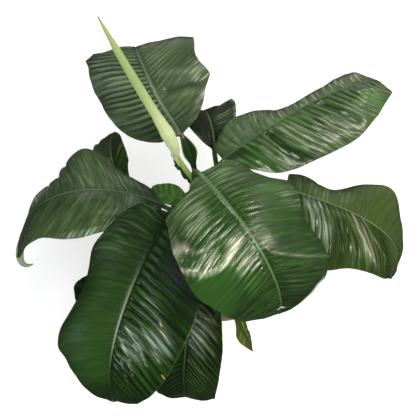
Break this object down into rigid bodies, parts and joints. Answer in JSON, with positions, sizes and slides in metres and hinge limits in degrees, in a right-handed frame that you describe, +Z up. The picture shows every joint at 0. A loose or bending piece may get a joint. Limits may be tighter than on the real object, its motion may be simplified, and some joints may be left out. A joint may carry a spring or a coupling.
{
  "type": "potted peace lily",
  "caption": "Large-leaved peace lily in a round grower's pot: broad pleated leaves arching out on long stalks, and one closed rolled flower bud leaning back.",
  "frame": {"origin": "middle of the pot's underside", "axes": "+Z up, -Y towards the side that the picture was taken from, +X to the picture's right"},
  "size_m": [0.5683, 0.522, 0.5909],
  "materials": {
    "pot": "matte mauve-brown moulded plastic",
    "soil": "crumbly dark potting mix",
    "leaf": "glossy dark green, pleated, with a pale midrib",
    "leaf_old": "yellowing, dull, with a brown tip",
    "spathe": "pale yellow-green, satin"
  },
  "bodies": {
    "root": {"pot": "pot", "soil": "soil", "leaf_top": "leaf", "leaf_back": "leaf", "leaf_back_right": "leaf", "leaf_back_small": "leaf", "leaf_right": "leaf", "leaf_right_under": "leaf", "leaf_left": "leaf", "leaf_left_behind": "leaf", "leaf_left_low": "leaf", "leaf_front_left": "leaf", "leaf_front": "leaf", "leaf_young": "leaf", "leaf_old": "leaf_old", "flower_bud": "spathe"}
  },
  "joints": []
}
